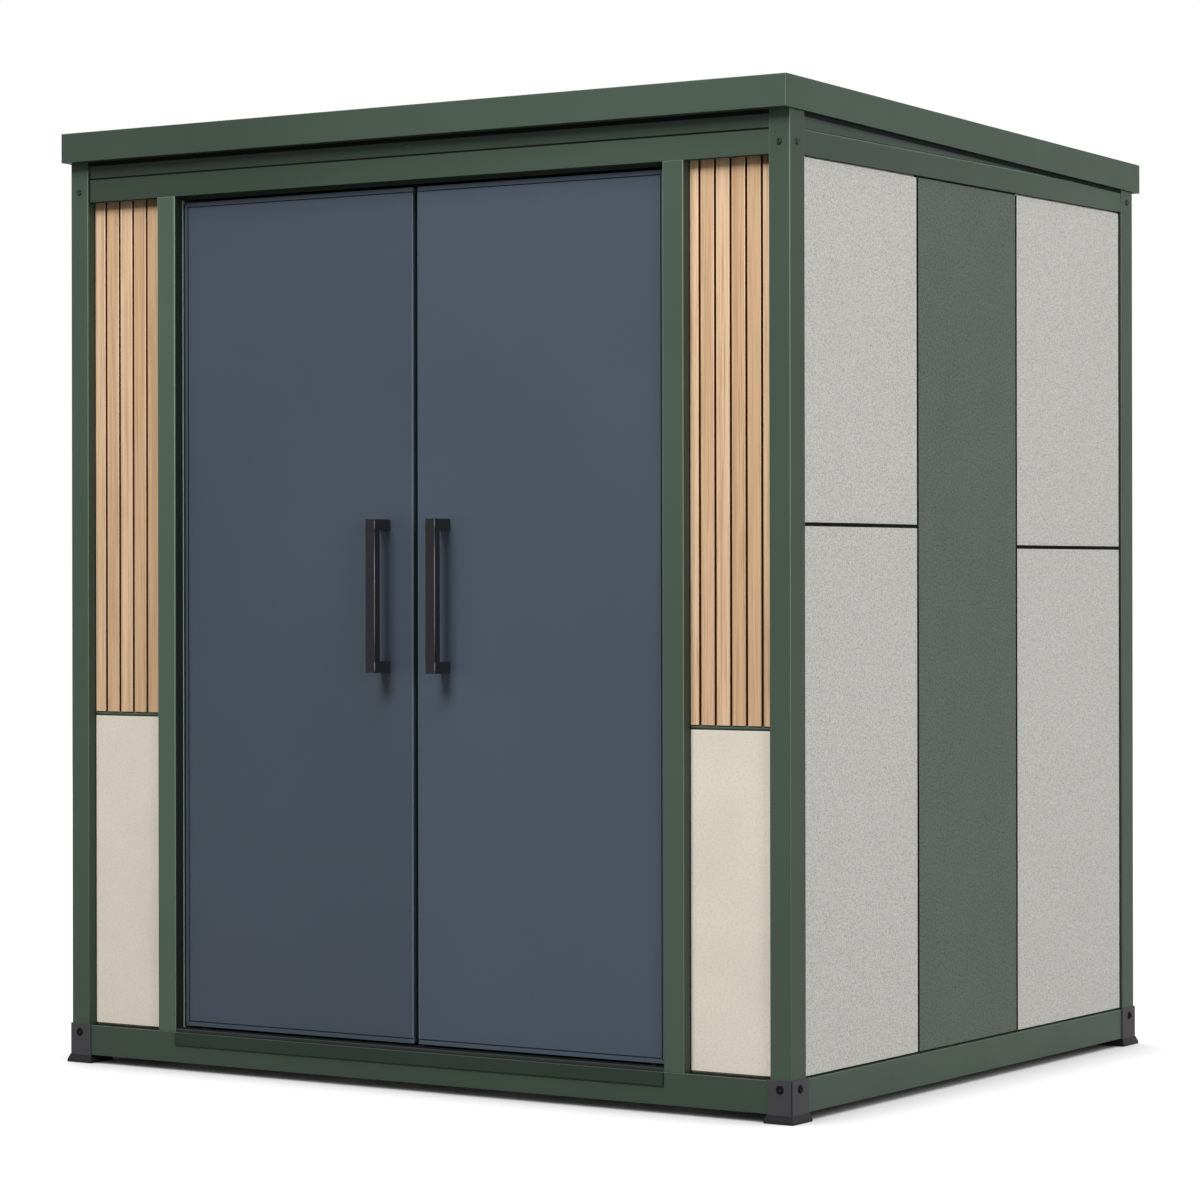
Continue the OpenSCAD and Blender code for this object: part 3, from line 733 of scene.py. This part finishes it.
def build_camera():
    """The photograph's camera: level but for a small roll, with its horizon shifted."""
    level = Vector((math.cos(CAMERA_YAW), math.sin(CAMERA_YAW), 0))
    ahead = Vector((-math.sin(CAMERA_YAW), math.cos(CAMERA_YAW), 0))
    upright = level.cross(ahead)
    right = math.cos(CAMERA_ROLL) * level + math.sin(CAMERA_ROLL) * upright
    up = math.cos(CAMERA_ROLL) * upright - math.sin(CAMERA_ROLL) * level
    data = bpy.data.cameras.new("camera")
    data.sensor_width = SENSOR
    data.lens = SENSOR * FOCAL_PIXELS / IMAGE_SIDE
    data.shift_y = HORIZON_OFFSET_PIXELS / IMAGE_SIDE
    data.clip_end = CLIP_END
    camera = bpy.data.objects.new("camera", data)
    basis = Matrix((right, up, -ahead)).transposed().to_4x4()
    camera.matrix_world = Matrix.Translation(CAMERA_PLACE) @ basis
    bpy.context.scene.collection.objects.link(camera)
    bpy.context.scene.camera = camera


def seen_plainly(tree):
    """1 for camera, glossy and transmission rays, 0 for the rest."""
    path = tree.nodes.new("ShaderNodeLightPath")
    seen = path.outputs["Is Camera Ray"]
    for ray in ("Is Glossy Ray", "Is Transmission Ray"):
        either = tree.nodes.new("ShaderNodeMath")
        either.operation = "MAXIMUM"
        tree.links.new(seen, either.inputs[0])
        tree.links.new(path.outputs[ray], either.inputs[1])
        seen = either.outputs[0]
    return seen


def build_world():
    """White where it is seen, and a faint light on everything else."""
    world = bpy.data.worlds.new("studio")
    bpy.context.scene.world = world
    world.use_nodes = True
    tree = world.node_tree
    background = tree.nodes["Background"]
    background.inputs["Color"].default_value = (1, 1, 1, 1)
    level = tree.nodes.new("ShaderNodeMapRange")
    tree.links.new(seen_plainly(tree), level.inputs["Value"])
    level.inputs["To Min"].default_value = AMBIENT
    level.inputs["To Max"].default_value = 1.0
    tree.links.new(level.outputs[0], background.inputs["Strength"])


def build_floor():
    """White floor that darkens only close to the shed."""
    mesh = bpy.data.meshes.new("floor")
    corners = [(-FLOOR_HALF, -FLOOR_HALF, 0), (FLOOR_HALF, -FLOOR_HALF, 0),
               (FLOOR_HALF, FLOOR_HALF, 0), (-FLOOR_HALF, FLOOR_HALF, 0)]
    mesh.from_pydata(corners, [], [(0, 1, 2, 3)])
    floor = bpy.data.objects.new("floor", mesh)
    bpy.context.scene.collection.objects.link(floor)
    coat = Coat("floor_white", roughness=0.9, specular=0.0)
    coat.shader.inputs["Base Color"].default_value = (*FLOOR_COLOUR, 1.0)
    coat.shader.inputs["Emission Color"].default_value = (1, 1, 1, 1)
    near = coat.add("ShaderNodeAmbientOcclusion", samples=SHADOW_SAMPLES)
    near.inputs["Distance"].default_value = SHADOW_REACH
    open_sky = coat.math("POWER", coat.ramp(near.outputs["AO"], *SHADOW_RANGE), SHADOW_POWER)
    lift = coat.math("MULTIPLY", seen_plainly(coat.tree), open_sky)
    coat.feed(coat.shader.inputs["Emission Strength"], lift)
    mesh.materials.append(coat.material)


def lamp(name, azimuth, elevation, distance, size, power, aim, gloss_only=False):
    """Soft box that looks at a point from an azimuth and an elevation.

    azimuth: 0 is the front and 90 the right side. gloss_only: it shows only as a gleam on the surfaces.
    """
    data = bpy.data.lights.new(name, "AREA")
    data.shape = "RECTANGLE"
    data.size, data.size_y = size
    data.energy = power
    light = bpy.data.objects.new(name, data)
    a, e = math.radians(azimuth), math.radians(elevation)
    away = Vector((math.sin(a) * math.cos(e), -math.cos(a) * math.cos(e), math.sin(e)))
    light.matrix_world = facing(Vector(aim) + away * distance, away)
    light.visible_camera = False
    light.visible_diffuse = not gloss_only
    light.visible_glossy = gloss_only
    bpy.context.scene.collection.objects.link(light)


# Studio and light
bpy.context.scene.view_settings.view_transform = "Standard"
build_camera()
build_world()
build_floor()
lamp("front", azimuth=-6, elevation=45, distance=16.0, size=(5.7, 5.7), power=2800, aim=(0.1, -0.6, 1.0))
lamp("top", azimuth=12, elevation=68, distance=5.0, size=(2.6, 2.6), power=190, aim=(0.8, -0.6, 1.8))
lamp("right", azimuth=112, elevation=20, distance=20.0, size=(8.2, 6.5), power=3240, aim=(0.8, 0.2, 0.9))
lamp("left", azimuth=-128, elevation=20, distance=12.0, size=(5.0, 4.0), power=1700, aim=(-0.8, 0.2, 0.9))
lamp("fill", azimuth=57, elevation=8, distance=9.0, size=(3.0, 5.0), power=200, aim=(0.4, -0.7, 1.0))
lamp("edge", azimuth=57, elevation=8, distance=7.0, size=(2.4, 5.0), power=340, aim=(0.4, -0.7, 1.0),
     gloss_only=True)

# Coats that several pieces share
green = green_paint("green_coat")
# Near-black coats for strips and seals that stand for shade in gaps, and for the wall joint strips, painted
# dark as shade
shade_strip = paint("shade_strip_coat", (0.015, 0.022, 0.017), roughness=0.7, specular=0.1, edge=1.0)
joint_shade = paint("joint_shade_coat", (0.006, 0.008, 0.007), roughness=0.8, specular=0.05, edge=1.0)
# Light coat of the jamb beads, painted as a highlight
highlight_seal = paint("seal_highlight_rubber", (0.110, 0.135, 0.118), roughness=0.6)
steel = zinc("galvanised", (0.36, 0.38, 0.38))
dark_fixing = cast_coat("fixing_coat", (0.011, 0.019, 0.014), roughness=0.4)
bolt_black = cast_coat("bolt_coat", (0.005, 0.005, 0.006), roughness=0.6, specular=0.06)

# Posts and jambs: painted shade on the near post's sides; painted light on the jambs, most on the left one
# and its reveal
front_post_green = green_paint("front_post_coat", edge=2.1, flank=0.80)
post_green = green_paint("post_coat", edge=2.1)
left_jamb_green = green_paint("left_jamb_coat", tone=1.32, flank=1.3)
right_jamb_green = green_paint("right_jamb_coat", tone=1.12)
dress(["post_front_right"], front_post_green)
dress(["post_front_left", "post_rear_left", "post_rear_right"], post_green)
dress(["jamb_left"], left_jamb_green)
dress(["jamb_right"], right_jamb_green)

# Head rails
# Front head rail: painted light that grows to the right, painted shadow under the roof trim, painted shade
# at the left end and in the crease
head_green = green_paint(
    "head_coat", tone=0.92, lean=LightRamp("X", start=-0.9, end=0.9, first=0.68, last=1.08), bands=[
        Band("Z", CREASE_Z[1], TRIM_LOW + EAVES_REACH, tone=0.74),
        Band("X", RAIL_END, RAIL_END + RAIL_END_SHADE, tone=0.12),
        Band("Z", CREASE_Z[0] - CREASE_LIP, CREASE_Z[1] + CREASE_LIP, tone=0.06)])
# Side and rear head rails: painted light growing to the rear, painted shadow under the trim, lower band a
# little darker, painted highlight at the crease
side_head_green = green_paint(
    "side_head_coat", tone=0.92, lean=LightRamp("Y", start=-0.8, end=0.8, first=0.81, last=1.16), bands=[
        Band("Z", SIDE_EDGE - EAVES_REACH, SIDE_EDGE + EAVES_REACH, tone=0.30, ease=EAVES_EASE,
             fall=ROOF_SLOPE),
        Band("Z", 0.0, CREASE_Z[0], tone=0.96),
        Band("Z", CREASE_Z[0], CREASE_Z[1], tone=3.4),
        Band("Z", CREASE_Z[0] - 3 * CREASE_LIP, CREASE_Z[0], tone=1.35)])
dress(["head_rail_front"], head_green, EDGE_FINE)
dress([f"head_rail_{wall}" for wall in WALLS], side_head_green, EDGE_FINE)

# Base rails, tread bar and feet
# Painted shade: the front base rail darker than the frame, the side and rear rails lighter towards the rear
base_green = green_paint("base_coat", tone=0.78)
side_base_lean = LightRamp("Y", start=-0.8, end=0.8, first=0.97, last=1.12)
side_base_green = green_paint("side_base_coat", tone=0.92, lean=side_base_lean)
# Lip plate in a darker tone, its end faces painted near-black as shade
lip_green = paint("lip_coat", shade(GREEN, 0.46), roughness=0.6, specular=0.12, flank=0.08)
tread = paint("tread_coat", (0.016, 0.018, 0.018), roughness=0.6, specular=0.2)
foot = foot_coat("foot_coat", (0.042, 0.041, 0.045))
dress(["base_rail_front"], base_green)
dress([f"base_rail_{wall}" for wall in WALLS], side_base_green)
dress(["threshold_lip"], lip_green)
dress(["threshold"], tread)
dress(["corner_feet"], foot, EDGE_CRISP)

# Roof and floor
# Painted light on the front trim, lighter towards the right
front_trim_lean = LightRamp("X", start=-0.97, end=0.97, first=0.78, last=1.12)
front_trim_green = green_paint("front_trim_coat", lean=front_trim_lean)
roof_green = green_paint("roof_coat", edge=1.0)
dress(["fascia_front"], front_trim_green)
dress([f"fascia_{wall}" for wall in WALLS], green)
dress(["roof_sheet"], roof_green)
dress(["floor_deck", "floor_bearers", "roof_purlins"], steel)

# Side and rear walls
side_stone = speckled_stone("side_stone", "X", SIDE_FACE)
rear_stone = speckled_stone("rear_stone", "Y", REAR_FACE)
side_moss = moss_render("side_moss", "X", SIDE_FACE)
rear_moss = moss_render("rear_moss", "Y", REAR_FACE)
dress([f"{side}_{bay}_panels" for side in SIDES for bay in ("front", "rear")], side_stone, EDGE_FINE)
dress([f"rear_{side}_panels" for side in SIDES], rear_stone, EDGE_FINE)
dress([f"{side}_centre_panel" for side in SIDES], side_moss, EDGE_CRISP)
dress(["rear_centre_panel"], rear_moss, EDGE_CRISP)
dress([f"{wall}_joint_strips" for wall in WALLS], joint_shade, EDGE_FINE)

# Front bays and doors
dress(["front_joint_strips"], green, EDGE_FINE)
# Handles: a strong painted highlight on their upright edges, and painted light on their sides
handle_black = cast_coat("handle_coat", (0.014, 0.014, 0.016), roughness=0.40, edge=14.0, specular=0.15,
                         flank=1.9)
# Each side's bays and leaf carry their own painted light, the left ones a little darker
for side in SIDES:
    slat_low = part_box(f"slat_panel_{side}")[0]
    first_edge = slat_low[0] + SLAT_FIRST[side] + SLAT_GAP / 2
    wood = timber(f"slat_timber_{side}", first_edge, SLAT_PITCH[side], slat_low[1], BAY_LIGHT[side])
    cream = rendered_board(f"cream_board_{side}", shade(CREAM, BAY_LIGHT[side]))
    leaf = paint(f"slate_coat_{side}", shade(SLATE, LEAF_LIGHT[side]), specular=0.2, drift=0.04, grain=0.20,
                 edge=1.5, pressed=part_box(f"door_{side}"))
    dress([f"slat_panel_{side}"], wood, SLAT_EDGE)
    dress([f"lower_panel_{side}"], cream, EDGE_FINE)
    dress([f"door_{side}"], leaf, EDGE_CRISP)
    dress([f"handle_{side}"], handle_black)

# Small fixings, and seals and strips; the dark ones stand for shade, the light jamb beads for a highlight
post_screws = corner_fixings(PAN_HEAD, SCREW_RADIUS, SCREW_Z, sunk=SCREW_SUNK)
foot_bolts = corner_fixings(WASHER_BOLT, BOLT_RADIUS, BOLT_Z, plate=SLEEVE_THICK)
made("post_screws", post_screws, dark_fixing, smooth=True)
made("band_rivets", band_rivets(), dark_fixing, smooth=True)
made("roof_screws", roof_screws(), steel, smooth=True)
made("jamb_shade_gaskets", jamb_beads(*JAMB_SHADE_GASKET), shade_strip)
made("jamb_beads", jamb_beads(*HIGHLIGHT_BEAD), highlight_seal)
made("head_shade_brush", head_shade_brush(), shade_strip)
made("sill_shade_seal", sill_shade_seal(), joint_shade)
made("ledge_shade_seals", ledge_shade_seals(), joint_shade)
made("corner_shade_seals", corner_shade_seals(), joint_shade)
made("closure_shade_strips", closure_shade_strips(), joint_shade)
made("foot_bolts", foot_bolts, bolt_black, smooth=True)
